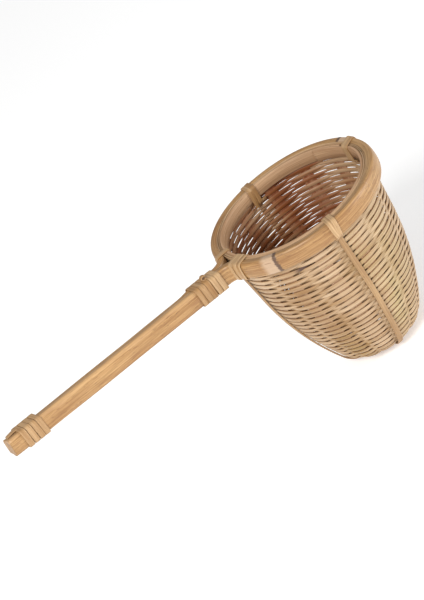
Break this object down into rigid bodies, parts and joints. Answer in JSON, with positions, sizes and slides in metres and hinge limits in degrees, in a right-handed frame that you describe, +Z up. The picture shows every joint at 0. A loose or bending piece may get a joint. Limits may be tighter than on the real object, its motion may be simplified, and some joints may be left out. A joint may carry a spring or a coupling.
{
  "type": "tea strainer",
  "caption": "Deep round-bottomed woven bamboo basket between two lashed hoops, on a long straight handle made of the outer hoop's two tails.",
  "frame": {"origin": "under the middle of the base, at the level of the lower crossing rib, which the basket stands on", "axes": "+Z up out of the mouth; the handle leaves along -X, tilted up 4.6 degrees; -Y is the front lashing, +X the tip lashing"},
  "size_m": [0.2491, 0.1014, 0.1097],
  "materials": {
    "hoop_bamboo": "satin",
    "inner_hoop_bamboo": "satin",
    "stake_bamboo": "satin",
    "weaver_bamboo": "satin",
    "rib_bamboo": "satin",
    "binding_strip": "satin"
  },
  "bodies": {
    "root": {"outer_hoop": "hoop_bamboo", "inner_hoop": "inner_hoop_bamboo", "rim_strand_1": "weaver_bamboo", "rim_strand_2": "weaver_bamboo", "rim_strand_3": "weaver_bamboo", "stake_1": "stake_bamboo", "stake_2": "stake_bamboo", "stake_3": "stake_bamboo", "stake_4": "stake_bamboo", "stake_5": "stake_bamboo", "stake_6": "stake_bamboo", "stake_7": "stake_bamboo", "stake_8": "stake_bamboo", "stake_9": "stake_bamboo", "stake_10": "stake_bamboo", "stake_11": "stake_bamboo", "stake_12": "stake_bamboo", "stake_13": "stake_bamboo", "base_splint_lower_1": "stake_bamboo", "base_splint_lower_2": "stake_bamboo", "base_splint_lower_3": "stake_bamboo", "base_splint_upper_1": "stake_bamboo", "base_splint_upper_2": "stake_bamboo", "base_splint_upper_3": "stake_bamboo", "weaver_1": "weaver_bamboo", "weaver_2": "weaver_bamboo", "weaver_3": "weaver_bamboo", "weaver_4": "weaver_bamboo", "weaver_5": "weaver_bamboo", "weaver_6": "weaver_bamboo", "weaver_7": "weaver_bamboo", "weaver_8": "weaver_bamboo", "rib_front_back": "rib_bamboo", "rib_handle_tip": "rib_bamboo", "lashing_front": "binding_strip", "lashing_back": "binding_strip", "lashing_tip": "binding_strip", "neck_binding_outer": "binding_strip", "neck_binding_inner": "binding_strip", "neck_lashing_near": "binding_strip", "neck_lashing_far": "binding_strip", "end_binding": "binding_strip", "end_binding_tuck": "binding_strip"}
  },
  "joints": []
}
